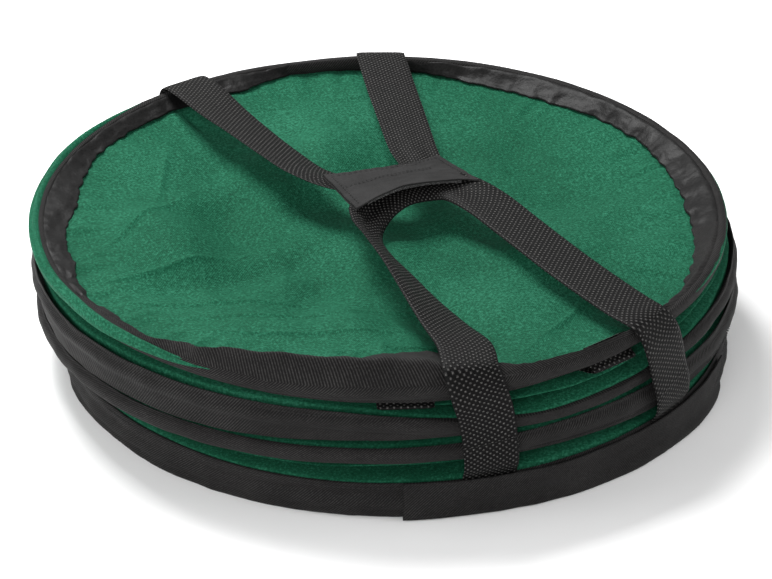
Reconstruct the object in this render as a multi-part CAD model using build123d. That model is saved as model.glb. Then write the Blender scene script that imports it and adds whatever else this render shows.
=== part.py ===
from build123d import *
import os
from math import atan2, cos, degrees, hypot, radians, sin

# A round fabric pop-up cylinder, held folded flat: four spring hoops stacked on
# the open mouth, the closed end on top, and two webbing handles that run up
# from the mouth hem, over the top rim, and meet in a wrapped carry grip.
# Everything is in millimetres. The floor is z = 0 and the stack's axis is Z.

# Spring hoops and the fabric channels they run in
WIRE_D = 3.0
SLEEVE_BORE = 3.1
SLEEVE_OD = 5.0
SLEEVE_LEN = 34.0
CHANNEL_D = 5.4
BEAD_D = 8.0
BAND_T = 2.4

# Each band: outer radius, hoop height, bottom edge and top edge
MOUTH = dict(r=243.0, hoop=14.0, low=0.0, high=28.0, join=200)
LOWER = dict(r=251.0, hoop=46.0, low=40.0, high=52.0, join=160)
UPPER = dict(r=250.0, hoop=68.0, low=60.0, high=80.0, join=20)
CROWN = dict(r=250.0, hoop=108.0, low=90.0, high=108.0, join=250)

# Folded wall fabric between the bands
FABRIC_T = 0.6
FOLD_DEPTH = 26.0
FOLDS = 4
WALL_INSET = 4.6
GAP = 0.5
SNUG = 0.1

# Hem overlap, where the band's own end laps over it
OVERLAP_T = 1.2
OVERLAP_START = -110.0
OVERLAP_ARC = 68.0
OVERLAP_LOW = 1.5
OVERLAP_HIGH = 27.5

# Closed end: sagging disc and the coated border round it
PANEL_R = 222.0
PANEL_EDGE_Z = 102.6
PANEL_SAG = 14.0
PANEL_T = 0.8
BORDER_IN = 217.0
BORDER_T = 1.2
BORDER_Z = 107.0
BORDER_DROP = 3.0
BORDER_GAP = 0.2
PIPING_D = 5.0
PIPING_LEAN = 20.0
PIPING_GAP = 0.05
PIPING_RUNS = ((105.0, 115.0), (-58.0, 64.0))

# Webbing, used for the handles and for the strips sewn up the wall. The
# handle ends are sewn in behind the mouth hem, above its hoop.
WEB_W = 38.0
WEB_T = 2.0
LEG_AZIMUTHS = (64.8, 97.8)
WALL_TWIST = 9.5
STRIP_PROUD = 1.5
STRIP_DEPTH = 5.0
TAIL_R = 252.4
TAIL_LOW = 29.6
RIM_Z = 113.0
ANCHOR_R = MOUTH["r"] - BAND_T - SNUG - WEB_T
ANCHOR_LOW = 19.0
ANCHOR_HIGH = 28.4
THREAD_T = 0.5
THREAD_W = 1.0
THREAD_INSET = 3.0
ANCHOR_ROWS = (21.0, 26.0)

# Grip: the two handle bridges lie side by side inside a wrap. The webbing
# gathers to about half its width where it turns into the grip.
GRIP_X = 23.0
GRIP_HALF = 55.0
BRIDGE_W = 20.0
BRIDGE_Z = 116.0
REAR_BRIDGE_Y = 28.0
FRONT_BRIDGE_Y = 4.0
WRAP_LEN = 88.0
WRAP_T = 2.2
WRAP_FRONT = -13.0
WRAP_BACK = 43.0
WRAP_FLOOR = 115.6
WRAP_ROOF = 118.6
WALL_TOP = 117.6
LIP_TOP = 117.1
FLAP_TOP = WRAP_ROOF + WRAP_T
LIP_FRONT = WRAP_FRONT + WRAP_T + 1.5
PATCH_T = 0.6
PATCH_MARGIN = 8.0
SEAM_MARGIN = 4.0
END_SEAM_INSET = 2.5


def profile(shape):
    """A flat shape drawn in radius and height, stood up on the XZ plane."""
    return Plane.XZ * shape


def full_ring(shape):
    return revolve(profile(shape), Axis.Z, 360)


def arc_piece(shape, start, arc):
    """The profile swept round Z, from the start azimuth through the arc."""
    return Rot(0, 0, start) * revolve(profile(shape), Axis.Z, arc)


def rectangle(r_in, r_out, low, high):
    middle = ((r_in + r_out) / 2, (low + high) / 2)
    return Pos(*middle) * Rectangle(r_out - r_in, high - low)


def ribbon(points, thickness):
    """A sheet of even thickness seen edge-on, along a chain of points."""
    return trace(Polyline(*points), line_width=thickness)


def hoop_radius(band):
    return band["r"] - BEAD_D / 2


def hoop(band):
    """Spring wire bent into a full ring."""
    return full_ring(Pos(hoop_radius(band), band["hoop"]) * Circle(WIRE_D / 2))


def sleeve(band):
    """Crimped sleeve over the place where the wire's two ends meet."""
    section = Circle(SLEEVE_OD / 2) - Circle(SLEEVE_BORE / 2)
    arc = degrees(SLEEVE_LEN / hoop_radius(band))
    place = Pos(hoop_radius(band), band["hoop"])
    return arc_piece(place * section, band["join"], arc)


def casing(band):
    """Fabric band with the channel that the hoop runs in."""
    flat = rectangle(band["r"] - BAND_T, band["r"], band["low"], band["high"])
    place = Pos(hoop_radius(band), band["hoop"])
    section = flat + place * Circle(BEAD_D / 2) - place * Circle(CHANNEL_D / 2)
    return full_ring(section)


def folded_wall(below, above):
    """The wall between two bands, laid to and fro in level folds."""
    low = below["high"] + GAP + FABRIC_T / 2
    high = above["low"] - GAP - FABRIC_T / 2
    outer = min(below["r"], above["r"]) - WALL_INSET
    step = (high - low) / (FOLDS - 1)
    points = []
    for fold in range(FOLDS):
        ends = [outer, outer - FOLD_DEPTH]
        if fold % 2:
            ends.reverse()
        points += [(r, low + fold * step) for r in ends]
    return full_ring(ribbon(points, FABRIC_T))


def wall_strips(below, above):
    """Webbing sewn up the wall, each strip folded back on itself in the gap."""
    middle = (below["high"] + above["low"]) / 2
    reach = min(below["r"], above["r"]) + STRIP_PROUD
    root = reach - STRIP_DEPTH
    half = (above["low"] - below["high"]) / 2 - GAP - WEB_T / 2
    points = [(root, middle - half), (reach, middle - half)]
    points += [(reach, middle + half), (root, middle + half)]
    if half < WEB_T:
        points = [(root, middle), (reach, middle)]
    fold = ribbon(points, WEB_T)
    arc = degrees(WEB_W / reach)
    strips = []
    for leg in LEG_AZIMUTHS:
        for azimuth in (leg - WALL_TWIST, -leg - WALL_TWIST):
            strips.append(arc_piece(fold, azimuth - arc / 2, arc))
    return Compound(strips)


def on_both_legs(side, section, inset=0.0):
    """The section swept over the strap's width at both legs of one handle."""
    arc = degrees((WEB_W - 2 * inset) / TAIL_R)
    pieces = []
    for leg in LEG_AZIMUTHS:
        pieces.append(arc_piece(section, side * leg - arc / 2, arc))
    return Compound(pieces)


def anchors(side):
    """The ends of the handle straps, sewn flat against the inside of the hem."""
    section = rectangle(ANCHOR_R, ANCHOR_R + WEB_T, ANCHOR_LOW, ANCHOR_HIGH)
    return on_both_legs(side, section)


def anchor_stitches():
    """Two rows of thread across each sewn strap end."""
    rows = []
    for side in (-1, 1):
        for low in ANCHOR_ROWS:
            section = rectangle(ANCHOR_R - THREAD_T, ANCHOR_R, low, low + THREAD_W)
            rows += on_both_legs(side, section, inset=THREAD_INSET).solids()
    return Compound(rows)


def tails(side):
    """The strap lengths that come out over the hem and run up to the top rim."""
    middle = TAIL_R + WEB_T / 2
    points = [(ANCHOR_R + WEB_T / 2, TAIL_LOW), (middle, LOWER["low"])]
    points.append((middle, RIM_Z - GAP))
    return on_both_legs(side, ribbon(points, WEB_T))


def rim_point(azimuth):
    r = TAIL_R + WEB_T
    return (r * cos(radians(azimuth)), r * sin(radians(azimuth)))


def leg(start, end):
    """One strap, level with the rim at its start and with the grip at its end."""
    run = (end[0] - start[0], end[1] - start[1])
    length = hypot(*run)
    along = Plane(
        origin=(start[0], start[1], 0),
        x_dir=(run[0], run[1], 0),
        z_dir=(run[1], -run[0], 0),
    )
    middle = WEB_T / 2
    side_view = ribbon(
        [
            (0, RIM_Z + middle),
            (length - BRIDGE_W, BRIDGE_Z + middle),
            (length, BRIDGE_Z + middle),
        ],
        WEB_T,
    )
    full_width = extrude(along * side_view, WEB_W / 2, both=True)
    taper = Polygon(
        (0, -WEB_W / 2),
        (length, -BRIDGE_W / 2),
        (length, BRIDGE_W / 2),
        (0, WEB_W / 2),
        align=None,
    )
    turn = degrees(atan2(run[1], run[0]))
    plan = Pos(start[0], start[1], 0) * Rot(0, 0, turn) * taper
    return full_width & extrude(plan, 2 * BRIDGE_Z)


def handle(side, bridge_y):
    """Two legs and the bridge between them, rising from the rim to the grip."""
    right = (GRIP_X + GRIP_HALF, bridge_y)
    left = (GRIP_X - GRIP_HALF, bridge_y)
    plan = Pos(GRIP_X, bridge_y) * Rectangle(2 * GRIP_HALF, BRIDGE_W)
    plan += Pos(*right) * Circle(BRIDGE_W / 2)
    plan += Pos(*left) * Circle(BRIDGE_W / 2)
    webbing = Pos(0, 0, BRIDGE_Z) * extrude(plan, WEB_T)
    for azimuth, corner in zip(LEG_AZIMUTHS, (right, left)):
        webbing += leg(rim_point(side * azimuth), corner)
    return webbing


def wrap_block(y_low, y_high, z_low, z_high, margin=0.0):
    length = WRAP_LEN - 2 * margin
    size = (length, y_high - y_low, z_high - z_low)
    middle = (GRIP_X, (y_low + y_high) / 2, (z_low + z_high) / 2)
    return Pos(*middle) * Box(*size)


def grip_wrap():
    """The part of the wrap sewn to the rear handle: floor, back and front lip."""
    floor = WRAP_FLOOR
    back = WRAP_BACK - WRAP_T
    shell = wrap_block(LIP_FRONT, WRAP_BACK, floor - WRAP_T, floor)
    shell += wrap_block(back, WRAP_BACK, floor, WALL_TOP)
    shell += wrap_block(LIP_FRONT, LIP_FRONT + WRAP_T, floor, LIP_TOP)
    return shell


def wrap_flap():
    """The flap that closes over the handles and laps down at the front."""
    low = WRAP_FLOOR - WRAP_T
    shell = wrap_block(WRAP_FRONT, WRAP_BACK, WRAP_ROOF, FLAP_TOP)
    shell += wrap_block(WRAP_FRONT, WRAP_FRONT + WRAP_T, low, WRAP_ROOF)
    return shell


def loop_patch():
    """Soft side of the fastener, on the wrap's front lip."""
    low = WRAP_FLOOR - WRAP_T
    return wrap_block(LIP_FRONT - PATCH_T, LIP_FRONT, low, LIP_TOP, PATCH_MARGIN)


def hook_patch():
    """Hooked side of the fastener, inside the flap's front edge."""
    low = WRAP_FLOOR - WRAP_T
    back = WRAP_FRONT + WRAP_T
    return wrap_block(back, back + PATCH_T, low, WALL_TOP, PATCH_MARGIN)


def flap_stitches():
    """Rows of thread along the flap's back edge and middle, and across its ends."""
    top = FLAP_TOP + THREAD_T
    middle = (WRAP_FRONT + WRAP_BACK) / 2
    rows = []
    for y in (WRAP_BACK - SEAM_MARGIN - THREAD_W, middle):
        rows.append(wrap_block(y, y + THREAD_W, FLAP_TOP, top, SEAM_MARGIN))
    reach = WRAP_LEN / 2 - END_SEAM_INSET
    across = WRAP_BACK - WRAP_FRONT - 2 * SEAM_MARGIN
    for x in (GRIP_X - reach, GRIP_X + reach):
        place = Pos(x, middle, FLAP_TOP + THREAD_T / 2)
        rows.append(place * Box(THREAD_W, across, THREAD_T))
    return Compound(rows)


def end_panel():
    """The closed end: one loose disc of fabric, sagging in the middle."""
    centre = PANEL_EDGE_Z - PANEL_SAG
    under = ThreePointArc(
        (0, centre), (PANEL_R / 2, centre + PANEL_SAG / 4), (PANEL_R, PANEL_EDGE_Z)
    )
    over = under.moved(Pos(0, PANEL_T))
    axis_edge = Line(under @ 0, over @ 0)
    rim_edge = Line(under @ 1, over @ 1)
    return full_ring(make_face([under, rim_edge, over, axis_edge]))


def end_border():
    """Coated border that joins the disc to the top hoop's band."""
    outer = CROWN["r"] - BEAD_D - BORDER_GAP
    points = [(BORDER_IN, BORDER_Z - BORDER_DROP), (outer, BORDER_Z)]
    return full_ring(ribbon(points, BORDER_T))


def piping():
    """Green cord-filled edging, showing along two stretches of the top rim."""
    reach = (BEAD_D + PIPING_D) / 2 + PIPING_GAP
    r = hoop_radius(CROWN) + reach * cos(radians(PIPING_LEAN))
    z = CROWN["hoop"] + reach * sin(radians(PIPING_LEAN))
    section = Pos(r, z) * Circle(PIPING_D / 2)
    return Compound([arc_piece(section, *run) for run in PIPING_RUNS])


def hem_overlap():
    """The hem band's finished end, lapped over its start."""
    inner = MOUTH["r"]
    section = rectangle(inner, inner + OVERLAP_T, OVERLAP_LOW, OVERLAP_HIGH)
    return arc_piece(section, OVERLAP_START, OVERLAP_ARC)


parts = {
    "mouth_hoop": hoop(MOUTH),
    "mouth_sleeve": sleeve(MOUTH),
    "mouth_hem": casing(MOUTH),
    "hem_overlap": hem_overlap(),
    "front_anchors": anchors(-1),
    "rear_anchors": anchors(1),
    "anchor_stitches": anchor_stitches(),
    "lower_hoop": hoop(LOWER),
    "lower_sleeve": sleeve(LOWER),
    "lower_casing": casing(LOWER),
    "lower_wall": folded_wall(MOUTH, LOWER),
    "lower_wall_strips": wall_strips(MOUTH, LOWER),
    "upper_hoop": hoop(UPPER),
    "upper_sleeve": sleeve(UPPER),
    "upper_casing": casing(UPPER),
    "middle_wall": folded_wall(LOWER, UPPER),
    "middle_wall_strips": wall_strips(LOWER, UPPER),
    "crown_hoop": hoop(CROWN),
    "crown_sleeve": sleeve(CROWN),
    "crown_binding": casing(CROWN),
    "upper_wall": folded_wall(UPPER, CROWN),
    "upper_wall_strips": wall_strips(UPPER, CROWN),
    "end_border": end_border(),
    "end_panel": end_panel(),
    "crown_piping": piping(),
    "front_tails": tails(-1),
    "rear_tails": tails(1),
    "front_handle": handle(-1, FRONT_BRIDGE_Y),
    "rear_handle": handle(1, REAR_BRIDGE_Y),
    "grip_wrap": grip_wrap(),
    "loop_patch": loop_patch(),
    "wrap_flap": wrap_flap(),
    "hook_patch": hook_patch(),
    "flap_stitches": flap_stitches(),
}

os.makedirs("parts", exist_ok=True)
for name, shape in parts.items():
    export_step(shape, f"parts/{name}.step")
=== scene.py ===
import math

import bpy
import numpy as np
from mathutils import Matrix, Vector, noise


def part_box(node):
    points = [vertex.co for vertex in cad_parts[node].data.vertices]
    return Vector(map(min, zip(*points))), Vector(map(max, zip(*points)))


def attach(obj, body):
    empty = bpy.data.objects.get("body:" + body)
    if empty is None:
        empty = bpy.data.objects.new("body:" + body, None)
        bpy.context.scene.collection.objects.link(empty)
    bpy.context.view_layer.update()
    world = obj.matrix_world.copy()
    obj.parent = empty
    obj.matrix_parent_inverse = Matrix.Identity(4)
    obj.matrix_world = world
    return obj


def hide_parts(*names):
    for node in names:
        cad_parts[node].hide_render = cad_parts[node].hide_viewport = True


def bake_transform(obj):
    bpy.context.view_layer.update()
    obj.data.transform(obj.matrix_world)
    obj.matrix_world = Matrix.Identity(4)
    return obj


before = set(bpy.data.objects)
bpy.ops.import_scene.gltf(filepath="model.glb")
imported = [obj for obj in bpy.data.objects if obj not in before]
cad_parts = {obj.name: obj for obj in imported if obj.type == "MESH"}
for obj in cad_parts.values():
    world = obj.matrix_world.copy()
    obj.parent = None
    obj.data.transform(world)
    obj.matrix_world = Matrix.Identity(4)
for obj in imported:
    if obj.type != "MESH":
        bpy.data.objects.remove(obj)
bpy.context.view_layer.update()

# Looks for a round fabric pop-up cylinder, folded flat, with two webbing handles.
# Metres, row frame: the floor is z = 0 and the stack's axis is Z. Azimuths are in
# degrees in that frame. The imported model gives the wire's and the sleeve's thickness;
# the shapes that the cloth takes are the profiles named below, in millimetres.

MM = 0.001
TAU = 2 * math.pi


# ---------------------------------------------------------------- sizes

WIRE = (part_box("crown_hoop")[1].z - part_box("crown_hoop")[0].z) / 2
SLEEVE = (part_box("crown_sleeve")[1].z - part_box("crown_sleeve")[0].z) / 2
WEB_T = 1.7 * MM
BEAD = 3.9
HEM_BEAD = 3.6
FOLD_DEPTH = 40.0
STEPS = 720
HEM_SHIFT = Vector((6.1, -8.3)) * MM


# ---------------------------------------------------------------- small helpers

def around(*stops, soften=6.0):
    """A value that changes smoothly round the stack, from (azimuth, value) stops."""
    fine = np.arange(-180.0, 180.0, 0.5)
    ordered = sorted(stops)
    level = np.interp(fine, [s[0] for s in ordered], [s[1] for s in ordered], period=360)
    reach = np.arange(-60, 61) * 0.5
    kernel = np.exp(-0.5 * (reach / soften) ** 2)
    kernel /= kernel.sum()
    smooth = np.convolve(np.concatenate([level[-60:], level, level[:60]]), kernel, "valid")
    return lambda azimuth: np.interp(azimuth, fine, smooth, period=360)


def waves(azimuth, across, size, seed, octaves=2):
    """Smooth noise over the ring, sampled on a cylinder so that it closes."""
    turn = np.radians(azimuth)
    flat = np.broadcast(turn, across)
    out = np.empty(flat.shape)
    radius = 0.25 / size
    for i, (a, v) in enumerate(flat):
        place = Vector((radius * math.cos(a), radius * math.sin(a), v + seed * 7.3))
        out.flat[i] = noise.fractal(place, 1.0, 2.0, octaves)
    return out


def bump(x, middle, width):
    return np.exp(-(((x - middle) / width) ** 2))


def mix(a, b, t):
    return a + (b - a) * t


def step(x, low, high):
    t = np.clip((x - low) / (high - low), 0, 1)
    return t * t * (3 - 2 * t)


def curve_through(points, count):
    """Points evenly spaced along a smooth curve through the given ones."""
    p = np.array(points, float)
    p = np.vstack([2 * p[0] - p[1], p, 2 * p[-1] - p[-2]])
    dense = []
    for a, b, c, d in zip(p, p[1:], p[2:], p[3:]):
        for t in np.linspace(0, 1, 40, endpoint=False):
            dense.append(0.5 * (2 * b + (c - a) * t + (2 * a - 5 * b + 4 * c - d) * t**2
                                + (3 * b - a - 3 * c + d) * t**3))
    dense.append(p[-2])
    dense = np.array(dense)
    length = np.r_[0, np.cumsum(np.linalg.norm(np.diff(dense[:, :3], axis=0), axis=1))]
    even = np.linspace(0, length[-1], count)
    return np.array([np.interp(even, length, dense[:, k]) for k in range(dense.shape[1])]).T


# ---------------------------------------------------------------- meshes

def grid(name, points, around_u=False, around_v=False, cap=False, begin=0.0):
    """A mesh over a grid of points, with UVs in metres along both directions."""
    rows, cols = points.shape[:2]
    index = np.arange(rows * cols).reshape(rows, cols)
    if around_u:
        index = np.vstack([index, index[:1]])
    if around_v:
        index = np.hstack([index, index[:, :1]])
    faces = np.stack([index[:-1, :-1], index[1:, :-1], index[1:, 1:], index[:-1, 1:]], -1)
    flat = points.reshape(-1, 3)
    if around_u:
        along = np.vstack([points, points[:1]])
    else:
        along = points
    over = np.hstack([points, points[:, :1]]) if around_v else points
    u = begin + np.r_[0, np.cumsum(np.linalg.norm(np.diff(along, axis=0), axis=2).mean(1))]
    v = np.r_[0, np.cumsum(np.linalg.norm(np.diff(over, axis=1), axis=2).mean(0))]
    polygons = faces.reshape(-1, 4).tolist()
    a, b = np.meshgrid(u[:-1], v[:-1], indexing="ij")
    c, d = np.meshgrid(u[1:], v[1:], indexing="ij")
    corners = np.stack([np.stack([a, b], -1), np.stack([c, b], -1),
                        np.stack([c, d], -1), np.stack([a, d], -1)], 2)
    uv = corners.reshape(-1, 2)
    if cap:
        for end in (index[0, :-1], index[-1, :-1][::-1]):
            polygons.append(end[::-1].tolist())
            uv = np.vstack([uv, np.zeros((len(end), 2))])
    mesh = bpy.data.meshes.new(name)
    mesh.from_pydata(flat.tolist(), [], polygons)
    layer = mesh.uv_layers.new(name="UVMap")
    layer.data.foreach_set("uv", uv.astype(np.float32).ravel())
    mesh.shade_smooth()
    piece = bpy.data.objects.new(name, mesh)
    bpy.context.scene.collection.objects.link(piece)
    return piece


def joined(name, tubes):
    """Many short closed tubes as one mesh, each a grid of points."""
    verts, faces, uv = [], [], []
    for points in tubes:
        rows, cols = points.shape[:2]
        base = len(verts)
        verts += points.reshape(-1, 3).tolist()
        for i in range(rows - 1):
            for j in range(cols):
                k = (j + 1) % cols
                faces.append([base + i * cols + j, base + (i + 1) * cols + j,
                              base + (i + 1) * cols + k, base + i * cols + k])
                uv += [(i, j), (i + 1, j), (i + 1, j + 1), (i, j + 1)]
        faces.append([base + j for j in range(cols)][::-1])
        faces.append([base + (rows - 1) * cols + j for j in range(cols)])
        uv += [(0, 0)] * (2 * cols)
    mesh = bpy.data.meshes.new(name)
    mesh.from_pydata(verts, [], faces)
    layer = mesh.uv_layers.new(name="UVMap")
    layer.data.foreach_set("uv", (np.array(uv, np.float32) * MM).ravel())
    mesh.shade_smooth()
    piece = bpy.data.objects.new(name, mesh)
    bpy.context.scene.collection.objects.link(piece)
    return piece


def place(radius, azimuth, height, shift=(0, 0)):
    """Points at a radius and azimuth, as an array with x, y, z last."""
    turn = np.radians(azimuth)
    radius, turn, height = np.broadcast_arrays(radius, turn, height)
    return np.stack([shift[0] + radius * np.cos(turn), shift[1] + radius * np.sin(turn),
                     height], -1)


def tube_round(centres, radius, sides=12, squeeze=1.0):
    """A round or flattened tube of points along a line, for one closed section."""
    ahead = np.gradient(centres, axis=0)
    ahead /= np.linalg.norm(ahead, axis=1)[:, None]
    side = np.cross(ahead, (0, 0, 1.0))
    side /= np.linalg.norm(side, axis=1)[:, None]
    over = np.cross(side, ahead)
    turn = np.linspace(0, TAU, sides, endpoint=False)
    radius = np.broadcast_to(radius, len(centres))
    return (centres[:, None] + radius[:, None, None] * (
        np.cos(turn)[None, :, None] * side[:, None]
        + squeeze * np.sin(turn)[None, :, None] * over[:, None]))


def finish_piece(piece, body, material, replaces=()):
    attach(piece, body)
    piece.data.materials.append(material)
    if replaces:
        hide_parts(*replaces)
    return piece


# ---------------------------------------------------------------- materials

class Nodes:
    """A short way to write a material's nodes."""

    def __init__(self, name):
        self.material = bpy.data.materials.new(name)
        self.material.use_nodes = True
        self.tree = self.material.node_tree
        self.shader = self.tree.nodes["Principled BSDF"]

    def set(self, **values):
        for key, value in values.items():
            socket = self.shader.inputs[key.replace("_", " ")]
            socket.default_value = value
        return self

    def add(self, kind, **values):
        node = self.tree.nodes.new(kind)
        for key, value in values.items():
            setattr(node, key, value)
        return node

    def link(self, a, b):
        self.tree.links.new(a, b)

    def math(self, operation, a, b=None, clamp=False):
        node = self.add("ShaderNodeMath", operation=operation, use_clamp=clamp)
        for socket, value in zip(node.inputs, (a, b)):
            if value is None:
                continue
            if isinstance(value, (int, float)):
                socket.default_value = value
            else:
                self.link(value, socket)
        return node.outputs[0]

    def uv(self):
        split = self.add("ShaderNodeSeparateXYZ")
        self.link(self.add("ShaderNodeUVMap", uv_map="UVMap").outputs[0], split.inputs[0])
        return split.outputs[0], split.outputs[1]

    def noise(self, scale, detail=2.0, roughness=0.5, stretch=None):
        node = self.add("ShaderNodeTexNoise")
        node.inputs["Scale"].default_value = scale
        node.inputs["Detail"].default_value = detail
        node.inputs["Roughness"].default_value = roughness
        coords = self.add("ShaderNodeTexCoord").outputs["Object"]
        if stretch:
            mapping = self.add("ShaderNodeMapping")
            mapping.inputs["Scale"].default_value = stretch
            self.link(coords, mapping.inputs["Vector"])
            coords = mapping.outputs[0]
        self.link(coords, node.inputs["Vector"])
        return node.outputs["Fac"]

    def ramp(self, factor, *stops):
        node = self.add("ShaderNodeValToRGB")
        while len(node.color_ramp.elements) < len(stops):
            node.color_ramp.elements.new(0.5)
        for element, (at, colour) in zip(node.color_ramp.elements, stops):
            element.position = at
            element.color = (*colour, 1)
        self.link(factor, node.inputs[0])
        return node.outputs[0]

    def spread(self, factor, low, high):
        node = self.add("ShaderNodeMapRange")
        node.inputs["To Min"].default_value = low
        node.inputs["To Max"].default_value = high
        self.link(factor, node.inputs["Value"])
        return node.outputs[0]

    def bump(self, height, distance, strength=1.0, under=None):
        node = self.add("ShaderNodeBump")
        node.inputs["Strength"].default_value = strength
        node.inputs["Distance"].default_value = distance
        self.link(height, node.inputs["Height"])
        if under is not None:
            self.link(under, node.inputs["Normal"])
        return node.outputs[0]

    def colour(self, output):
        self.link(output, self.shader.inputs["Base Color"])

    def rough(self, output):
        self.link(output, self.shader.inputs["Roughness"])

    def normal(self, output):
        self.link(output, self.shader.inputs["Normal"])


def thread_height(n, pitch_u, pitch_v, slant=0.0):
    """Raised threads of a weave, as a height from 0 to 1, from the UVs."""
    u, v = n.uv()
    lean = n.math("ADD", u, n.math("MULTIPLY", v, slant))
    a = n.math("SINE", n.math("MULTIPLY", lean, TAU / pitch_u))
    b = n.math("SINE", n.math("MULTIPLY", v, TAU / pitch_v))
    return n.math("ADD", n.math("MULTIPLY", n.math("MULTIPLY", a, b), 0.5), 0.5)


def slanted_lines(n, pitch):
    """Diagonal ribs of a twill, as a height from 0 to 1, from the UVs."""
    u, v = n.uv()
    across = n.math("MULTIPLY", n.math("ADD", u, v), 0.7071 * TAU / pitch)
    return n.math("ADD", n.math("MULTIPLY", n.math("SINE", across), 0.5), 0.5)


def polyester():
    """Green woven polyester: a fine plain weave, dusty sheen and soft mottling."""
    n = Nodes("green_polyester_weave").set(Specular_IOR_Level=0.03, Sheen_Weight=0.03,
                                           Sheen_Roughness=0.45)
    n.set(Sheen_Tint=(0.35, 0.8, 0.6, 1))
    grain = n.noise(560, 2.0, 0.65)
    patch = n.noise(9, 3.0)
    blend = n.math("ADD", n.math("MULTIPLY", grain, 0.75), n.math("MULTIPLY", patch, 0.25))
    n.colour(n.ramp(blend, (0.32, (0.004, 0.044, 0.022)), (0.50, (0.009, 0.078, 0.041)),
                    (0.68, (0.026, 0.150, 0.088))))
    n.rough(n.spread(grain, 0.50, 0.75))
    weave = thread_height(n, 1.8 * MM, 1.8 * MM)
    fine = n.bump(grain, 0.5 * MM, 0.7)
    n.normal(n.bump(weave, 0.25 * MM, 0.8, fine))
    return n.material


def twill():
    """Black polyester binding: a slanted weave over nearly matt cloth."""
    n = Nodes("black_twill").set(Specular_IOR_Level=0.07, Sheen_Weight=0.02,
                                 Sheen_Roughness=0.5)
    grain = n.noise(750, 2.0, 0.6)
    weave = slanted_lines(n, 1.5 * MM)
    worn = n.noise(30, 4.0)
    blend = n.math("ADD", n.math("MULTIPLY", weave, 0.35), n.math("MULTIPLY", grain, 0.45))
    blend = n.math("ADD", blend, n.math("MULTIPLY", worn, 0.2))
    n.colour(n.ramp(blend, (0.30, (0.0035, 0.0033, 0.0033)), (0.55, (0.0105, 0.0100, 0.0100)),
                    (0.75, (0.038, 0.0366, 0.0360))))
    n.rough(n.spread(grain, 0.55, 0.78))
    fine = n.bump(grain, 0.25 * MM, 0.5)
    n.normal(n.bump(weave, 0.22 * MM, 0.8, fine))
    return n.material


def coated():
    """Black coated cloth of the border: smoother, with a crinkled gloss."""
    n = Nodes("black_coated_cloth").set(Specular_IOR_Level=0.09, Sheen_Weight=0.01)
    grain = n.noise(800, 2.0, 0.6)
    crease = n.noise(55, 5.0, 0.62)
    n.colour(n.ramp(grain, (0.30, (0.0030, 0.0029, 0.0029)), (0.72, (0.010, 0.0097, 0.0097))))
    n.rough(n.spread(crease, 0.30, 0.58))
    fine = n.bump(grain, 0.12 * MM, 0.5)
    n.normal(n.bump(crease, 2.2 * MM, 0.55, fine))
    return n.material


def webbing():
    """Coarse polypropylene webbing: staggered raised picks, with a painted highlight on their
    tops.
    """
    n = Nodes("black_webbing_weave").set(Specular_IOR_Level=0.09, Sheen_Weight=0.01)
    u, v = n.uv()
    a = n.math("COSINE", n.math("MULTIPLY", u, TAU / (4.0 * MM)))
    b = n.math("COSINE", n.math("MULTIPLY", v, TAU / (4.5 * MM)))
    pick = n.math("MULTIPLY", a, b)
    dome = n.math("POWER", n.math("MAXIMUM", pick, 0.0), 0.55)
    grain = n.noise(1500, 2.0, 0.6)
    # painted highlight: the black webbing's colour turns much lighter on top of each raised
    # pick, where light would catch it
    painted_highlight = n.math("MULTIPLY", dome, n.spread(grain, 0.2, 1.25))
    n.colour(n.ramp(painted_highlight, (0.0, (0.0012, 0.0012, 0.0012)), (0.45, (0.0045, 0.0045, 0.0045)),
                    (1.0, (0.150, 0.146, 0.140))))
    n.rough(n.spread(grain, 0.42, 0.66))
    fine = n.bump(grain, 0.2 * MM, 0.4)
    n.normal(n.bump(dome, 0.9 * MM, 1.0, fine))
    return n.material


def wrap_cloth():
    """Dark grey cloth of the grip: a close, even weave."""
    n = Nodes("wrap_cloth").set(Specular_IOR_Level=0.07, Sheen_Weight=0.02)
    grain = n.noise(1300, 2.0, 0.6)
    soft = n.noise(40, 3.0)
    blend = n.math("ADD", n.math("MULTIPLY", grain, 0.6), n.math("MULTIPLY", soft, 0.4))
    n.colour(n.ramp(blend, (0.3, (0.010, 0.010, 0.010)), (0.7, (0.028, 0.0275, 0.0275))))
    n.rough(n.spread(grain, 0.6, 0.8))
    weave = thread_height(n, 1.1 * MM, 1.1 * MM)
    n.normal(n.bump(weave, 0.12 * MM, 0.6, n.bump(grain, 0.15 * MM, 0.4)))
    return n.material


def thread(name, dark, light, roughness):
    n = Nodes(name).set(Specular_IOR_Level=0.08, Sheen_Weight=0.02)
    twist = n.noise(2500, 2.0, 0.6)
    n.colour(n.ramp(twist, (0.3, dark), (0.7, light)))
    n.rough(n.spread(twist, roughness, roughness + 0.2))
    n.normal(n.bump(twist, 0.15 * MM, 0.8))
    return n.material


def steel(name, tint, roughness):
    n = Nodes(name).set(Metallic=1.0)
    grain = n.noise(600, 3.0, 0.6, stretch=(1, 1, 8))
    n.colour(n.ramp(grain, (0.3, tuple(c * 0.7 for c in tint)), (0.7, tint)))
    n.rough(n.spread(grain, roughness, roughness + 0.2))
    n.normal(n.bump(grain, 0.05 * MM, 0.5))
    return n.material


def pile(name, colour, scale):
    """Hook or loop tape: a dense short nap."""
    n = Nodes(name).set(Specular_IOR_Level=0.3, Sheen_Weight=0.3)
    nap = n.add("ShaderNodeTexVoronoi")
    nap.inputs["Scale"].default_value = scale
    n.link(n.add("ShaderNodeTexCoord").outputs["Object"], nap.inputs["Vector"])
    height = nap.outputs["Distance"]
    n.colour(n.ramp(height, (0.1, colour), (0.7, tuple(2.5 * c for c in colour))))
    n.rough(n.spread(height, 0.6, 0.9))
    n.normal(n.bump(height, 0.6 * MM, 0.9))
    return n.material


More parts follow.
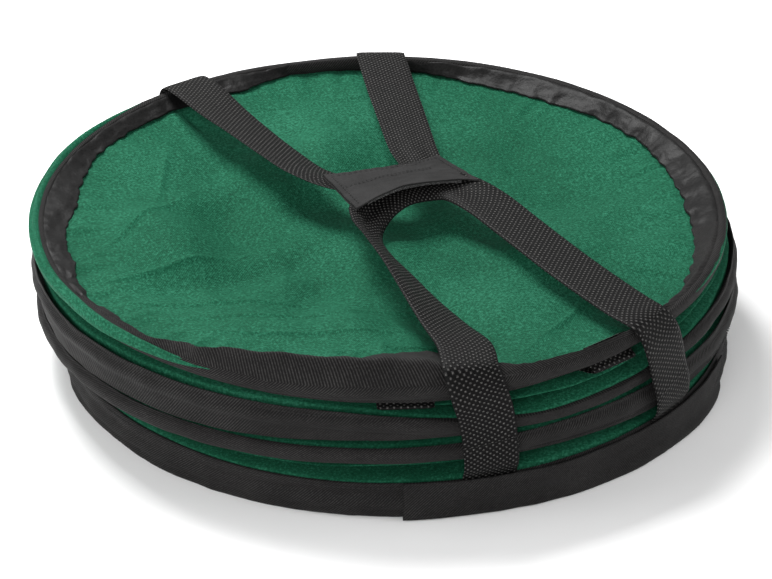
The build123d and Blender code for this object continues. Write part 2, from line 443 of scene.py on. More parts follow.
GREEN = polyester()
TWILL = twill()
COATED = coated()
WEBBING = webbing()
WRAP = wrap_cloth()
BLACK_THREAD = thread("black_sewing_thread", (0.008,) * 3, (0.035,) * 3, 0.55)
SPRING = steel("spring_steel_wire", (0.50, 0.50, 0.49), 0.25)
CRIMP = steel("crimp_sleeve_steel", (0.62, 0.60, 0.56), 0.30)
LOOPS = pile("loop_pile_tape", (0.010, 0.010, 0.010), 900)
HOOKS = pile("hook_tape", (0.014, 0.014, 0.014), 1400)


# ---------------------------------------------------------------- the crown's lines

TILT = 24.3


def crown_height(azimuth):
    """Height of the top hoop: it leans a little, low at the front."""
    return (105 + 6.0 * np.sin(np.radians(azimuth + TILT))) * MM


crown_radius = around((-180, 246), (-120, 246), (-60, 245), (0, 246), (90, 246))
crest_height = around((-180, 4), (-158, 5), (-148, 12), (-134, 21), (-112, 22), (-104, 16),
                      (-95, 8), (-84, 9), (-60, 6), (0, 4), (90, 4), soften=4)
crest_radius = around((-180, 243), (-150, 241), (-130, 239), (-110, 238), (-95, 237),
                      (-60, 239), (0, 242), (90, 242), soften=4)
border_edge = around((131, 232), (152, 221), (160, 224), (164, 228), (175, 228), (184, 237),
                     (186, 234), (-171, 241), (-165, 236), (-155, 243), (-146, 240), (-143, 243),
                     (-134, 232), (-120, 218), (-105, 207), (-98, 228), (-92, 242), (-79, 250),
                     (-62, 240), (-49, 233), (-24, 222), (-7, 223), (7, 229), (19, 230),
                     (33, 226), (46, 230), (55, 238), (70, 246), (81, 246), (93, 228),
                     (100, 229), soften=1.4)


def edge_radius(azimuth):
    """Where the green disc shows from under the border: scalloped and uneven."""
    ragged = 2.4 * waves(azimuth, np.zeros_like(azimuth), 0.012, 3, 3)
    return np.minimum(border_edge(azimuth) + ragged, 243.5) * MM


def edge_height(azimuth):
    rise = around((-180, 102), (-130, 105), (-110, 107), (-90, 98), (-60, 97), (0, 101),
                  (90, 106), (140, 103))
    return rise(azimuth) * MM


ANGLES = np.linspace(-180, 180, STEPS, endpoint=False)


# ---------------------------------------------------------------- hoops

def hoop_line(radius, height, shift=(0, 0)):
    return place(radius, ANGLES, height, shift)


def hoop(name, line, body, node):
    points = tube_round(np.vstack([line[-1:], line, line[:1]]), WIRE, 10)[1:-1]
    piece = grid(name, points, around_u=True, around_v=True)
    return finish_piece(piece, body, SPRING, [node])


def sleeve(name, radius, height, start, body, node, shift=(0, 0)):
    """The crimped joint: a short tube, pinched flat in three places."""
    arc = np.linspace(start, start + math.degrees(34 * MM / 0.245), 60)
    line = place(radius(arc), arc, height(arc), shift)
    share = np.linspace(0, 1, len(arc))
    pinch = sum(bump(share, at, 0.06) for at in (0.2, 0.5, 0.8))
    outside = tube_round(line, SLEEVE * (1 - 0.12 * pinch), 16, 0.9)
    piece = grid(name, outside, around_v=True, cap=True)
    return finish_piece(piece, body, CRIMP, [node])


# ---------------------------------------------------------------- bands

def band(name, body, node, seed, radius, wire, low, high, lean=None, ridge=None,
         thick=2.0, bead=BEAD, wrinkle=0.9, shift=(0, 0)):
    """A fabric band as one closed section: it bulges over the hoop and wrinkles."""
    a = ANGLES[:, None]
    count = 22
    t = (1 - np.cos(np.linspace(0, math.pi, count)))[None, :] / 2
    top, bottom = high(a), low(a)
    z = top + (bottom - top) * t
    swell = bead * np.clip(1 - ((z - wire(a)) / (bead * 1.5)) ** 2, 0, None) ** 0.6
    half = np.maximum(thick / 2 * np.sqrt(np.clip(1 - (2 * t - 1) ** 8, 0, 1)), swell)
    middle = radius(a) - bead
    if lean is not None:
        middle = middle + lean(a) * (z - wire(a)) / 20
    fold = wrinkle * waves(a, z / 16, 0.035, seed, 3)
    long_fold = 0.0 if ridge is None else ridge(a) * np.sin(z / 3.1 + 2.2 * waves(
        a, 0 * z, 0.12, seed + 1))
    sag = 0.8 * waves(a, 0 * z, 0.09, seed + 2)
    outer = middle + half + fold + long_fold
    inner = middle - half
    points = np.concatenate([
        place(outer * MM, a, (z + sag) * MM, shift),
        place(inner * MM, a, (z + sag) * MM, shift)[:, ::-1]], axis=1)
    points[..., 2] = np.maximum(points[..., 2], 0.2 * MM)
    piece = grid(name, points, around_u=True, around_v=True)
    return finish_piece(piece, body, TWILL, [node])


def constant(value):
    return lambda azimuth: np.zeros_like(azimuth, float) + value


hem_wire = constant(12.0)
hem_radius = around((-180, 243), (-90, 243.5), (-30, 246), (0, 244), (90, 243))
hem_low = constant(0.4)
hem_high = around((-180, 26), (-120, 26), (-112, 27), (-100, 28), (-60, 30), (-30, 31),
                  (10, 28), (90, 28))
hem_ridges = around((-180, 1.0), (-150, 1.3), (-118, 1.2), (-109, 0.25), (-45, 0.3),
                    (-25, 1.1), (10, 0.8), (90, 0.6), soften=3)

lower_radius = around((-180, 251), (-120, 250), (-90, 251), (-60, 254), (-40, 259), (-20, 260),
                      (5, 257), (60, 251))
lower_wire = around((-180, 45), (-90, 50), (-60, 51), (-30, 50), (60, 46))
lower_low = around((-180, 38), (-120, 42), (-110, 44), (-86, 41), (-60, 38), (-30, 38),
                   (60, 40))
lower_high = around((-180, 52), (-120, 54), (-100, 56), (-86, 58), (-60, 60), (-30, 60),
                    (60, 52))

upper_radius = around((-180, 254), (-150, 254), (-120, 251), (-100, 250), (-60, 251),
                      (-35, 258), (-10, 259), (10, 256), (60, 250), (120, 252))
upper_wire = around((-180, 76), (-140, 76), (-115, 74), (-90, 65), (-60, 68), (-30, 74),
                    (60, 68))
upper_low = around((-180, 54), (-140, 55), (-118, 61), (-100, 62), (-86, 61), (-60, 63),
                   (-30, 64), (60, 60))
upper_high = around((-180, 86), (-140, 85), (-118, 83), (-100, 72), (-86, 67.5), (-60, 73),
                    (-30, 86), (0, 84), (60, 80))
upper_lean = around((-180, 2.5), (-130, 2.0), (-100, 0), (-30, 1), (60, 0))

crown_low = around((-180, 96), (-150, 93), (-130, 91), (-110, 89), (-95, 89), (-86, 92),
                   (-60, 94), (-30, 95), (0, 97), (90, 100))


def crown_wire(azimuth):
    return crown_height(azimuth) / MM - 1


def crown_top(azimuth):
    return crown_wire(azimuth) + 4.4


def build_bands():
    band("hem_band", "mouth", "mouth_hem", 11, hem_radius, hem_wire, hem_low, hem_high,
         ridge=hem_ridges, wrinkle=1.1, shift=HEM_SHIFT, bead=HEM_BEAD)
    band("lower_band", "lower", "lower_casing", 21, lower_radius, lower_wire, lower_low,
         lower_high, wrinkle=0.9)
    band("upper_band", "upper", "upper_casing", 31, upper_radius, upper_wire, upper_low,
         upper_high, lean=upper_lean, wrinkle=1.1)
    band("crown_band", "crown", "crown_binding", 41,
         lambda a: crown_radius(a) + 4, crown_wire, crown_low, crown_top, wrinkle=0.6,
         bead=4.0)


def build_hoops():
    hoop("mouth_wire", hoop_line((hem_radius(ANGLES) - HEM_BEAD) * MM, 12 * MM + 0 * ANGLES,
                                 HEM_SHIFT), "mouth", "mouth_hoop")
    hoop("lower_wire", hoop_line((lower_radius(ANGLES) - BEAD) * MM,
                                 lower_wire(ANGLES) * MM), "lower", "lower_hoop")
    hoop("upper_wire", hoop_line((upper_radius(ANGLES) - BEAD) * MM,
                                 upper_wire(ANGLES) * MM), "upper", "upper_hoop")
    hoop("crown_wire", hoop_line(crown_radius(ANGLES) * MM, crown_wire(ANGLES) * MM),
         "crown", "crown_hoop")
    sleeve("mouth_crimp", lambda a: (hem_radius(a) - HEM_BEAD) * MM, lambda a: 12 * MM + 0 * a,
           200, "mouth", "mouth_sleeve", HEM_SHIFT)
    sleeve("lower_crimp", lambda a: (lower_radius(a) - BEAD) * MM,
           lambda a: lower_wire(a) * MM, 160, "lower", "lower_sleeve")
    sleeve("upper_crimp", lambda a: (upper_radius(a) - BEAD) * MM,
           lambda a: upper_wire(a) * MM, 20, "upper", "upper_sleeve")
    sleeve("crown_crimp", lambda a: crown_radius(a) * MM, lambda a: crown_wire(a) * MM,
           250, "crown", "crown_sleeve")


def build_overlap():
    """The hem's finished end, lapped flat over the hem in front of the strap ends."""
    arc = np.linspace(-113, -42, 150)
    a = arc[:, None]
    z = np.linspace(28.5, 1.0, 16)[None, :]
    free = step(a, -113, -109)
    out = hem_radius(a) + 1.1 + 0.5 * (1 - free) + 1.3 * waves(a, z / 22, 0.05, 61, 3)
    out = out + 2.2 * bump(z, 5, 6) * bump(a, -52, 9)
    fade = step(-a, 42, 50)
    out = out - 1.2 * (1 - fade)
    z = z + (0.02 * (a + 113) + 0.8 * waves(a, 0 * z, 0.04, 62, 2)) * step(z, 10, 28)
    outer = place(out * MM, a, z * MM, HEM_SHIFT)
    inner = place((out - 1.1) * MM, a, z * MM, HEM_SHIFT)[:, ::-1]
    piece = grid("hem_overlap_band", np.concatenate([outer, inner], axis=1),
                 around_v=True, cap=True)
    finish_piece(piece, "mouth", TWILL, ["hem_overlap"])


# ---------------------------------------------------------------- border and disc

def build_border():
    """Coated border: up from the hoop, over a crest, and down to the green disc."""
    a = ANGLES[:, None]
    wire_r, wire_z = crown_radius(a), crown_wire(a)
    edge_r, edge_z = edge_radius(a) / MM, edge_height(a) / MM + 1.2
    crest_z = wire_z + crest_height(a)
    crest_r = np.maximum(crest_radius(a), edge_r + 1.5)
    foot = [wire_r + 3.4, wire_z + 2.2]
    shoulder = [mix(crest_r, wire_r + 3.0, 0.55), mix(crest_z, wire_z, 0.30)]
    crest = [crest_r, crest_z]
    half_way = [mix(crest_r, edge_r, 0.55), mix(crest_z, edge_z, 0.62)]
    edge = [edge_r, edge_z]
    keys = [foot, shoulder, crest, half_way, edge]
    t = np.linspace(0, len(keys) - 1, 30)[None, :]
    r = sum(np.maximum(0, 1 - abs(t - i)) * k[0] for i, k in enumerate(keys))
    z = sum(np.maximum(0, 1 - abs(t - i)) * k[1] for i, k in enumerate(keys))
    for _ in range(6):
        r[:, 1:-1] = (r[:, :-2] + 2 * r[:, 1:-1] + r[:, 2:]) / 4
        z[:, 1:-1] = (z[:, :-2] + 2 * z[:, 1:-1] + z[:, 2:]) / 4
    inward = step(t, 0.4, 2.5) * (1 - 0.7 * step(t, 3.2, 4.0))
    z = z + inward * 1.6 * waves(a, t / 2.4, 0.022, 51, 3)
    z = z + inward * 1.0 * np.abs(waves(a, t / 6, 0.05, 52, 2))
    top = place(r * MM, a, z * MM)
    under = place(r * MM, a, (z - 1.0) * MM)[:, ::-1]
    piece = grid("crown_border", np.concatenate([top, under], axis=1), around_u=True,
                 around_v=True)
    finish_piece(piece, "crown", COATED, ["end_border"])
    piece.data.materials.append(TWILL)
    for face in piece.data.polygons:
        azimuth = math.degrees(math.atan2(face.center.y, face.center.x))
        face.material_index = int(-172 < azimuth < -30)
    return piece


# x, y, half length, half width, direction and depth of each hollow or swell, in mm
DENTS = [
    (-90, 69, 70, 30, 75, -5),
    (-118, -21, 60, 18, 10, -4),
    (-15, -131, 50, 25, 80, -4),
    (-26, -202, 26, 14, 0, -4),
    (101, -87, 60, 45, 50, 5),
    (-160, 40, 50, 30, 80, 5),
    (20, 120, 60, 40, 20, 4),
    (-75, -60, 75, 45, 60, -4),
    (60, 60, 40, 60, 10, -3),
    (140, 30, 40, 60, 0, -3),
]

# x, y, direction, half length, half width, height of the thin creases, in mm
CREASES = [
    (-150, -60, -14, 70, 1.5, 1.3),
    (-130, -95, -16, 90, 1.5, 1.2),
    (-170, -5, 10, 60, 1.6, 1.2),
    (-120, -130, -22, 80, 1.3, 1.0),
    (-165, 60, 35, 50, 1.8, 1.3),
    (-120, 130, 60, 40, 1.8, 1.2),
    (-60, -185, -20, 60, 1.4, 1.0),
    (60, -180, 30, 50, 1.5, 1.0),
    (150, 90, 100, 55, 1.8, 1.2),
    (60, 190, -15, 50, 1.6, 1.1),
]


def disc_height(x, y, azimuth, share):
    """The loose disc: a shallow sag with hills and valleys (mm); build_disc adds the tight
    creases.
    """
    rim = edge_height(azimuth) / MM - 0.4
    centre = 90.0
    z = centre + (rim - centre) * share ** 2.4

    def dent(cx, cy, long, wide, turn, depth):
        c, s = math.cos(math.radians(turn)), math.sin(math.radians(turn))
        along = (x - cx) * c + (y - cy) * s
        across = -(x - cx) * s + (y - cy) * c
        return 2.3 * depth * np.exp(-(along / long) ** 2 - (across / wide) ** 2)

    for hollow in DENTS:
        z = z + dent(*hollow)
    fade = 1 - share ** 6
    return z, fade


def build_disc():
    rings = 150
    share = (np.linspace(0, 1, rings) ** 0.8)[None, :]
    a = ANGLES[:, None]
    outer = edge_radius(a) / MM + 4.5
    r = outer * share
    x = r * np.cos(np.radians(a))
    y = r * np.sin(np.radians(a))
    z, fade = disc_height(x, y, a, share)
    tall = np.empty(z.shape)
    fine = np.empty(z.shape)
    for i, (px, py) in enumerate(np.nditer([x, y])):
        tall.flat[i] = noise.fractal(Vector((px / 75, py / 75, 2.0)), 1.0, 2.0, 2)
        fine.flat[i] = noise.ridged_multi_fractal(
            Vector((px / 70 + 4, py / 110, 9.0)), 1.0, 2.1, 3, 1.0, 2.0)
    pucker = bump(share, 0.93, 0.07) * waves(a, 0.3 * share, 0.014, 33, 2)
    z = z + fade * (7.0 * tall) + fade * 2.0 * (fine - 1.0) + 2.6 * pucker
    for cx, cy, turn, length, wide, tallness in CREASES:
        c, s = math.cos(math.radians(turn)), math.sin(math.radians(turn))
        along = (x - cx) * c + (y - cy) * s
        bend = 3 * np.sin(along / 45)
        across = -(x - cx) * s + (y - cy) * c - bend
        z = z + 2.0 * tallness * np.exp(-np.abs(across / (1.5 * wide)) ** 1.4) * bump(
            along, 0, length)
    points = np.stack([x, y, z], -1) * MM
    piece = grid("end_disc", points, around_u=True)
    flat_uv = points.reshape(-1, 3)[:, :2]
    loops = np.empty(len(piece.data.loops), np.int32)
    piece.data.loops.foreach_get("vertex_index", loops)
    piece.data.uv_layers[0].data.foreach_set("uv", flat_uv[loops].astype(np.float32).ravel())
    finish_piece(piece, "crown", GREEN, ["end_panel"])
    across = 2 * float(outer.mean()) * MM
    return piece


# ---------------------------------------------------------------- piping

def build_piping():
    """Green edging that rolls out over the rim on two stretches."""
    runs = (("crown_piping_long", 103, 229, 4.0), ("crown_piping_short", -66, 8, 1.6))
    for name, start, end, size in runs:
        a = np.linspace(start, end, int((end - start) * 2.5))
        share = np.linspace(0, 1, len(a))
        taper = 0.10 + 0.90 * step(np.minimum(share, 1 - share), 0, 0.28) ** 0.8
        radius = crown_radius(a) + 1.6 + 0.55 * size * taper + 0.5 * waves(a, 0 * a, 0.06, 71)
        height = crown_wire(a) + 2.2 + 0.7 * waves(a, 0 * a, 0.05, 72)
        line = place(radius * MM, a, height * MM)
        points = tube_round(line, size * MM * taper, 24, 1.2)
        turn = np.linspace(0, TAU, 24, endpoint=False)
        groove = 1 - 0.42 * np.exp(-((turn - 1.0) / 0.32) ** 2)
        points = line[:, None] + (points - line[:, None]) * groove[None, :, None]
        piece = grid(name, points, around_v=True, cap=True)
        finish_piece(piece, "crown", GREEN, ["crown_piping"])


# ---------------------------------------------------------------- folded walls

# the level heights at which each wall is sewn inside the band below and above it, in mm
SEWN = {"lower_wall_cloth": (24, 46), "middle_wall_cloth": (50, 66),
        "upper_wall_cloth": (66, 101)}


def wall(name, node, seed, foot, head, seats, reach, shift=(0, 0),
         tops=(-1.0, -0.2, -1.2)):
    """Wall cloth laid to and fro between two bands, its folds showing in the gap."""
    a = ANGLES[:, None]
    low, high = foot(a), head(a)
    gap = high - low
    out = reach(a)
    keys = [(-8, 0.0), (tops[0], 0.12), (-FOLD_DEPTH, 0.28), (-FOLD_DEPTH, 0.36),
            (tops[1], 0.48), (tops[1], 0.58), (-FOLD_DEPTH, 0.62), (-FOLD_DEPTH, 0.66),
            (tops[2], 0.92), (-8, 1.0)]
    t = np.linspace(0, len(keys) - 1, 64)[None, :]
    weights = [np.maximum(0, 1 - abs(t - i)) for i in range(len(keys))]
    dr = sum(w * k[0] for w, k in zip(weights, keys))
    dz = sum(w * k[1] for w, k in zip(weights, keys))
    dr, dz = dr + 0 * a, dz + 0 * a
    for _ in range(8):
        dr[:, 1:-1] = (dr[:, :-2] + 2 * dr[:, 1:-1] + dr[:, 2:]) / 4
        dz[:, 1:-1] = (dz[:, :-2] + 2 * dz[:, 1:-1] + dz[:, 2:]) / 4
    near = np.clip(1 + dr / 12, 0, 1)
    wander = 2.6 * waves(a, t / 3.0, 0.06, seed, 3) * near
    lift = 0.10 * gap * waves(a, t / 3.5, 0.08, seed + 1, 2) * bump(t, 4.5, 3.5)
    foot_seat, head_seat = seats
    leave, arrive = step(t, 0.0, 0.9), step(t, 8.1, 9.0)
    r = mix(foot_seat(a), out + dr + wander, leave)
    r = mix(r, head_seat(a), arrive)
    sewn_low, sewn_high = SEWN[name]
    z = mix(sewn_low, low + gap * dz + lift, leave)
    z = mix(z, sewn_high, arrive)
    points = place(r * MM, a, z * MM)
    points[..., :2] += np.array(shift) * (1 - t / t.max())[..., None]
    piece = grid(name, points, around_u=True)
    piece.data.materials.append(GREEN)
    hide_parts(node)
    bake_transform(piece)
    return piece


def build_walls():
    wall("lower_wall_cloth", "lower_wall", 81,
         lambda a: hem_high(a) - 1.5, lambda a: lower_low(a) + 1.5,
         (lambda a: hem_radius(a) - 5.2, lambda a: lower_radius(a) - BEAD),
         around((-180, 243), (-120, 245), (-100, 241), (-60, 244), (-30, 249), (60, 243)),
         HEM_SHIFT, (-4.0, -9.0, -8.0))
    wall("middle_wall_cloth", "middle_wall", 84,
         lambda a: lower_high(a) - 1.5, lambda a: upper_low(a) + 1.5,
         (lambda a: lower_radius(a) - BEAD, lambda a: upper_radius(a) - 6.2),
         around((-180, 247), (-120, 246), (-90, 246), (-60, 248), (-30, 253), (60, 246)),
         tops=(-3.0, -5.0, -8.0))
    wall("upper_wall_cloth", "upper_wall", 87,
         lambda a: upper_high(a) - 1.5, lambda a: crown_low(a) + 1.5,
         (lambda a: upper_radius(a) - 6.6, crown_radius),
         around((-180, 250), (-140, 246), (-120, 243), (-104, 246), (-90, 250), (-60, 250),
                (-30, 254), (0, 257), (25, 257), (45, 252), (60, 246), (110, 246), (150, 250)),
         tops=(0.5, -6.0, -13.0))


# ---------------------------------------------------------------- webbing

def ribbon(name, stops, count, first=0, last=None):
    """Flat webbing along a chain of stops: (x, y, z, side direction, width), in mm.
    Only the stretch from first to last is made, so that one strap can be in pieces."""
    dense = curve_through(stops, count)
    centre = dense[:, :3] * MM
    ahead = np.gradient(centre, axis=0)
    ahead /= np.linalg.norm(ahead, axis=1)[:, None]
    side = dense[:, 3:6]
    side = side - (side * ahead).sum(1)[:, None] * ahead
    side /= np.linalg.norm(side, axis=1)[:, None]
    face = np.cross(ahead, side)
    s = np.linspace(-1, 1, 15)
    half = dense[:, 6] / 2 * MM
    gather = np.clip(1 - dense[:, 6] / 38, 0, 1)
    lift = gather[:, None] * 5 * MM * np.cos(s * 5.5)[None, :]
    core = (centre[:, None] + s[None, :, None] * (half[:, None] * side)[:, None, :]
            + lift[..., None] * face[:, None, :])
    thick = WEB_T / 2 * np.sqrt(np.clip(1 - s**6, 0.05, 1))
    top = core + thick[None, :, None] * face[:, None, :]
    under = core - thick[None, :, None] * face[:, None, :]
    points = np.concatenate([top, under[:, ::-1]], axis=1)
    length = np.r_[0, np.cumsum(np.linalg.norm(np.diff(centre, axis=0), axis=1))]
    last = last or count
    piece = grid(name, points[first:last], around_v=True, cap=True, begin=length[first])
    piece.data.materials.append(WEBBING)
    return piece


def on_ring(azimuth, radius, height):
    turn = math.radians(azimuth)
    return (radius * math.cos(turn), radius * math.sin(turn), height)


def tangent(azimuth, sign=1):
    turn = math.radians(azimuth)
    return (-sign * math.sin(turn), sign * math.cos(turn), 0.0)


# each leg from its sewn end up over the rim: (azimuth, radius, height), in mm
FRONT_LEFT = [(-97.2, 246.4, 19.5), (-97.2, 246.8, 25.5), (-97.3, 248.6, 31.0),
              (-97.4, 252.6, 38.5), (-97.6, 254.2, 50), (-98.0, 254.0, 66),
              (-98.7, 254.4, 82), (-99.6, 253.6, 95), (-100.2, 249.6, 106),
              (-100.4, 242.0, 112.5)]
FRONT_RIGHT = [(-62.5, 250.2, 19.5), (-62.5, 250.6, 25.5), (-62.6, 252.4, 31.5),
               (-63.0, 256.6, 40), (-63.6, 258.4, 52), (-64.5, 257.0, 68),
               (-65.4, 256.0, 84), (-66.2, 254.0, 96), (-66.6, 249.5, 104.5),
               (-66.8, 242.0, 108.5)]
REAR_LEFT = [(99.0, 229.4, 19.5), (99.0, 229.6, 26.0), (99.2, 234.5, 32.5),
             (100.0, 247.5, 38.5), (101.0, 254.5, 50), (102.0, 254.8, 68),
             (103.0, 254.8, 88), (104.0, 254.2, 106), (104.2, 249.5, 115.5),
             (104.2, 242.0, 118.0)]
REAR_RIGHT = [(63.0, 234.0, 19.5), (63.0, 234.2, 26.0), (63.1, 239.0, 32.5),
              (63.5, 249.0, 39.0), (64.0, 254.0, 52), (64.8, 254.4, 68),
              (65.3, 254.4, 88), (65.8, 254.0, 106), (65.8, 249.5, 115.8),
              (65.8, 242.0, 118.6)]

# the way across the top of each handle: x, y, z, direction of the inner edge, width
FRONT_TOP = [
    (-37, -215, 113.5, 0.98, -0.12, -0.08, 38),
    (-35, -180, 111.5, 0.95, -0.06, -0.28, 37),
    (-33, -140, 111.5, 0.86, 0.00, -0.50, 36),
    (-31, -100, 112.5, 0.76, 0.00, -0.65, 35),
    (-29, -62, 111.0, 0.66, -0.05, -0.72, 33),
    (-25, -33, 109.5, 0.62, -0.38, -0.66, 31),
    (-14, -12, 111.0, 0.25, -0.86, -0.42, 31),
    (10, 0, 117.2, 0.00, -0.93, -0.34, 33),
    (34, 1, 117.8, -0.05, -0.94, -0.32, 33),
    (54, -8, 116.8, -0.45, -0.87, -0.22, 34),
    (66, -34, 114.5, -0.93, -0.35, -0.08, 37),
    (73, -80, 112.0, -0.98, -0.17, 0.00, 38),
    (81, -140, 109.5, -0.98, -0.18, 0.00, 38),
    (90, -200, 108.8, -0.95, -0.28, 0.00, 38),
]
REAR_TOP = [
    (-56, 215, 118.0, 0.97, 0.22, 0.00, 38),
    (-52, 180, 116.5, 0.97, 0.18, -0.10, 38),
    (-46, 140, 115.5, 0.97, 0.15, -0.20, 37),
    (-39, 98, 114.5, 0.96, 0.12, -0.25, 37),
    (-32, 62, 114.5, 0.92, 0.30, -0.25, 36),
    (-18, 34, 115.0, 0.50, 0.85, -0.12, 32),
    (8, 18, 114.6, 0.05, 0.99, 0.06, 28),
    (32, 18, 114.6, -0.05, 0.99, 0.06, 28),
    (47, 33, 115.5, -0.50, 0.85, 0.00, 31),
    (55, 66, 116.0, -0.93, 0.35, -0.05, 35),
    (68, 112, 116.5, -0.96, 0.28, 0.00, 37),
    (83, 165, 117.0, -0.95, 0.32, 0.00, 38),
    (93, 200, 118.6, -0.92, 0.40, 0.00, 38),
]
STRAP_SAMPLES = 620
FOOT_SHARE = 0.055


def build_straps():
    """Two handles, each one strap in three pieces: foot, U over the top, foot."""
    for end, left, right, top, sign in (("front", FRONT_LEFT, FRONT_RIGHT, FRONT_TOP, 1),
                                        ("rear", REAR_LEFT, REAR_RIGHT, REAR_TOP, -1)):
        up = [(*on_ring(*stop), *tangent(stop[0], sign), 38.0) for stop in left]
        down = [(*on_ring(*stop), *tangent(stop[0], -sign), 38.0) for stop in right]
        stops = up + top + down[::-1]
        foot = int(STRAP_SAMPLES * FOOT_SHARE)
        for name, first, last in (("left", 0, foot + 1),
                                  ("right", STRAP_SAMPLES - foot - 1, STRAP_SAMPLES)):
            piece = ribbon(f"{end}_{name}_strap_foot", stops, STRAP_SAMPLES, first, last)
            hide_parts(f"{end}_anchors")
            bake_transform(piece)
        piece = ribbon(f"{end}_handle_webbing", stops, STRAP_SAMPLES, foot,
                       STRAP_SAMPLES - foot)
        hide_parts(f"{end}_handle", f"{end}_tails")
        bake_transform(piece)


def build_wall_strips():
    """Webbing sewn up the wall, each strip folded double in its gap."""
    gaps = (("lower", ("mouth", "lower"), hem_high, lower_low, "lower_wall_strips", 236),
            ("middle", ("lower", "upper"), lower_high, upper_low, "middle_wall_strips", 240),
            ("upper", ("upper", "crown"), upper_high, crown_low, "upper_wall_strips", 248))
    for name, bodies, foot, head, node, reach in gaps:
        for tag, azimuth in (("a", 55.3), ("b", 88.3), ("c", -75.0), ("d", -110.5)):
            here = np.array([azimuth])
            low, high = float(foot(here)[0]) + 1.5, float(head(here)[0]) - 1.0
            sewn_low, sewn_high = SEWN[f"{name}_wall_cloth"]
            stops = [(reach - 14, sewn_low), (reach - 18, mix(low, high, 0.45)),
                     (reach - 5, mix(low, high, 0.68)), (reach, mix(low, high, 0.80)),
                     (reach - 5, mix(low, high, 0.95)), (reach - 12, sewn_high)]
            full = [(*on_ring(azimuth, r, z), *tangent(azimuth), 38.0) for r, z in stops]
            piece = ribbon(f"{name}_wall_strip_{tag}", full, 40)
            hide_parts(node)
            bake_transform(piece)


# ---------------------------------------------------------------- grip

def wrap_surface(s, t):
    """The wrap's top: s runs along the grip, t from its front edge to its back (mm)."""
    left, right_near, right_far = -27, 73, 63
    x = mix(left, mix(right_near, right_far, t), s)
    near = np.interp(s, [0, 0.15, 0.4, 0.65, 0.85, 1], [-17, -12, -7, -8, -9, -12])
    far = np.interp(s, [0, 0.2, 0.45, 0.7, 0.9, 1], [43, 34, 28, 27, 33, 38])
    y = mix(near, far, t)
    arch = np.sin(math.pi * np.clip(s, 0, 1)) ** 0.8
    z = 118.8 + arch * (5.4 + 0.8 * (1 - t)) - 0.6 * bump(t, 0.5, 0.4) * arch
    return x, y, z


def build_wrap():
    s, t = np.meshgrid(np.linspace(0, 1, 90), np.linspace(0, 1, 50), indexing="ij")
    x, y, z = wrap_surface(s, t)
    ripple = np.array([noise.fractal(Vector((px / 22, py / 14, 5.0)), 1.0, 2.0, 3)
                       for px, py in zip(x.ravel(), y.ravel())]).reshape(x.shape)
    z = z + 0.8 * ripple
    hem = 1.0 * (bump(s, 0.0, 0.03) + bump(s, 1.0, 0.03))
    top = np.stack([x, y, z + hem], -1)
    under = np.stack([x, y, z - 1.1 - 0.4 * hem], -1)
    points = np.concatenate([top, under[:, ::-1]], axis=1) * MM
    flap = grid("wrap_flap_cloth", points, around_v=True, cap=True)
    finish_piece(flap, "flap", WRAP, ["wrap_flap"])

    s, t = np.meshgrid(np.linspace(0.24, 0.82, 60), np.linspace(0, 1, 30), indexing="ij")
    x = mix(-27, 73, s)
    y = mix(-9.0, 27.0, t)
    z = 111.2 + 0.1 * (y + 10) - 1.5 * (1 - np.sin(math.pi * s))
    top = np.stack([x, y, z], -1)
    under = np.stack([x, y, z - 0.9], -1)
    points = np.concatenate([top, under[:, ::-1]], axis=1) * MM
    trough = grid("wrap_trough_cloth", points, around_v=True, cap=True)
    finish_piece(trough, "rear_strap", WRAP, ["grip_wrap"])
    return flap


def dash(a, b, width, height):
    """One stitch: a small rounded bar of thread between two points."""
    line = np.array([np.array(a) + (np.array(b) - np.array(a)) * k
                     for k in (0, 0.15, 0.5, 0.85, 1)])
    size = np.array([0.5, 0.95, 1, 0.95, 0.5]) * width
    return tube_round(line, size, 6, height)


def build_wrap_stitches():
    rows = []
    for s0, t0, s1, t1 in ((0.04, 0.93, 0.97, 0.93), (0.06, 0.55, 0.80, 0.62),
                           (0.045, 0.08, 0.045, 0.90), (0.955, 0.10, 0.955, 0.92)):
        count = 22 if t0 == t1 or s0 != s1 else 14
        for k in range(count):
            a, b = k / count, (k + 0.62) / count
            ends = []
            for m in (a, b):
                x, y, z = wrap_surface(np.array(mix(s0, s1, m)), np.array(mix(t0, t1, m)))
                ends.append((float(x) * MM, float(y) * MM, float(z) * MM + 0.9 * MM))
            rows.append(dash(*ends, 0.35 * MM, 0.6))
    piece = joined("wrap_seam_thread", rows)
    finish_piece(piece, "flap", BLACK_THREAD, ["flap_stitches"])


def build_patches():
    for name, body, node, back, material, slot in (
            ("loop_tape_patch", "rear_strap", "loop_patch", 0.0, LOOPS, "loop_pile"),
            ("hook_tape_patch", "flap", "hook_patch", 1.0, HOOKS, "hook_tape")):
        s, t = np.meshgrid(np.linspace(0.12, 0.88, 50), np.linspace(0.03, 0.22, 10),
                           indexing="ij")
        x, y, z = wrap_surface(s, t)
        drop = 1.7 if back else 2.7
        top = np.stack([x, y, z - drop], -1)
        under = np.stack([x, y, z - drop - 0.7], -1)
        points = np.concatenate([top, under[:, ::-1]], axis=1) * MM
        piece = grid(name, points, around_v=True, cap=True)
        finish_piece(piece, body, material, [node])


# ---------------------------------------------------------------- seams

def seam_round(name, body, radius, height, replaces=(), pitch=3.4, start=-180, end=180,
               shift=(0, 0)):
    """A row of stitches round a band."""
    step_angle = math.degrees(pitch * MM / 0.25)
    rows = []
    for azimuth in np.arange(start, end, step_angle):
        ends = []
        for m in (azimuth, azimuth + 0.62 * step_angle):
            at = np.array([m])
            ends.append(place(radius(at)[0] * MM, m, height(at)[0] * MM, shift))
        rows.append(dash(*ends, 0.32 * MM, 0.9))
    piece = joined(name, rows)
    finish_piece(piece, body, BLACK_THREAD, replaces)


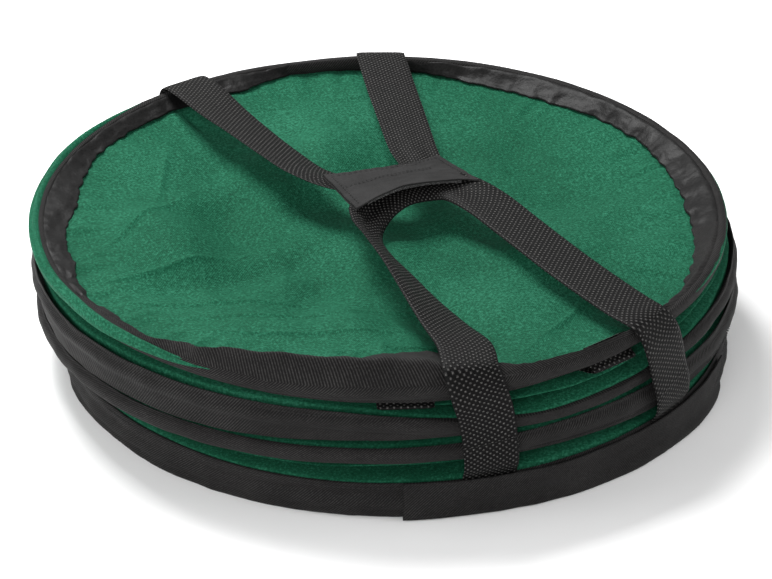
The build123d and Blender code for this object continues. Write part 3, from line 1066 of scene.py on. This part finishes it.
def build_seams():
    seam_round("upper_band_seam", "upper", lambda a: upper_radius(a) - 2.2,
               lambda a: upper_high(a) - 3.5)
    seam_round("lower_band_seam", "lower", lambda a: lower_radius(a) - 2.4,
               lambda a: lower_low(a) + 2.5)
    seam_round("hem_top_seam", "mouth", lambda a: hem_radius(a) - 1.4,
               lambda a: hem_high(a) - 3.0, start=-40, end=248, shift=HEM_SHIFT)
    rows = []
    for strap in (FRONT_LEFT, FRONT_RIGHT, REAR_LEFT, REAR_RIGHT):
        inside = strap[0][1] - 1.1
        for z in (21.0, 25.5):
            for k in range(-5, 6):
                a = strap[0][0] + k * 0.72
                ends = [place(inside * MM, a, z * MM), place(inside * MM, a + 0.45, z * MM)]
                rows.append(dash(*ends, 0.32 * MM, 0.9))
    piece = joined("strap_end_stitches", rows)
    finish_piece(piece, "mouth", BLACK_THREAD, ["anchor_stitches"])


# ---------------------------------------------------------------- stage

def build_stage():
    half = 2.5
    side = np.linspace(-half, half, 9)
    x, y = np.meshgrid(side, side, indexing="ij")
    points = np.stack([x, y, 0 * x], -1)
    floor = grid("studio_floor", points)
    n = Nodes("pale_paper").set(Specular_IOR_Level=0.1, Roughness=0.9)
    mottling = n.noise(6, 3.0)
    n.colour(n.ramp(mottling, (0.3, (0.93, 0.93, 0.93)), (0.7, (0.97, 0.97, 0.97))))
    floor.data.materials.append(n.material)

    bpy.context.scene.view_settings.view_transform = "Standard"
    world = bpy.data.worlds.new("studio")
    world.use_nodes = True
    world.node_tree.nodes["Background"].inputs[0].default_value = (1, 1, 1, 1)
    world.node_tree.nodes["Background"].inputs[1].default_value = 0.40
    bpy.context.scene.world = world

    def soft_box(name, azimuth, height, distance, size, power):
        light = bpy.data.lights.new(name, "AREA")
        light.shape = "RECTANGLE"
        light.size, light.size_y = size
        light.energy = power
        lamp = bpy.data.objects.new(name, light)
        turn = math.radians(azimuth)
        lamp.location = (distance * math.cos(turn), distance * math.sin(turn), height)
        lamp.rotation_mode = "QUATERNION"
        lamp.rotation_quaternion = (-Vector(lamp.location)).to_track_quat("-Z", "Y")
        bpy.context.scene.collection.objects.link(lamp)

    soft_box("top_soft_box", 100, 1.5, 0.9, (0.7, 0.7), 44)
    soft_box("front_fill", -125, 0.7, 2.0, (1.8, 1.0), 24)
    soft_box("left_fill", 165, 0.7, 1.9, (1.2, 0.8), 20)
    soft_box("right_fill", -30, 0.9, 1.9, (1.4, 1.0), 14)


def build_camera():
    data = bpy.data.cameras.new("photo_camera")
    data.sensor_width = 36
    data.lens = 140.1
    data.shift_x = 5 / 772
    data.shift_y = -12.9 / 772
    camera = bpy.data.objects.new("photo_camera", data)
    turn, rise = math.radians(-TILT), math.radians(28.5)
    back = Vector((math.sin(turn) * math.cos(rise), -math.cos(turn) * math.cos(rise),
                   math.sin(rise)))
    camera.location = Vector((0, 0, 0.05)) + 2.2 * back
    camera.rotation_mode = "QUATERNION"
    camera.rotation_quaternion = (-back).to_track_quat("-Z", "Y")
    bpy.context.scene.collection.objects.link(camera)
    bpy.context.scene.camera = camera


build_camera()
build_hoops()
build_bands()
build_overlap()
build_border()
build_disc()
build_piping()
build_walls()
build_straps()
build_wall_strips()
build_wrap()
build_wrap_stitches()
build_patches()
build_seams()
build_stage()
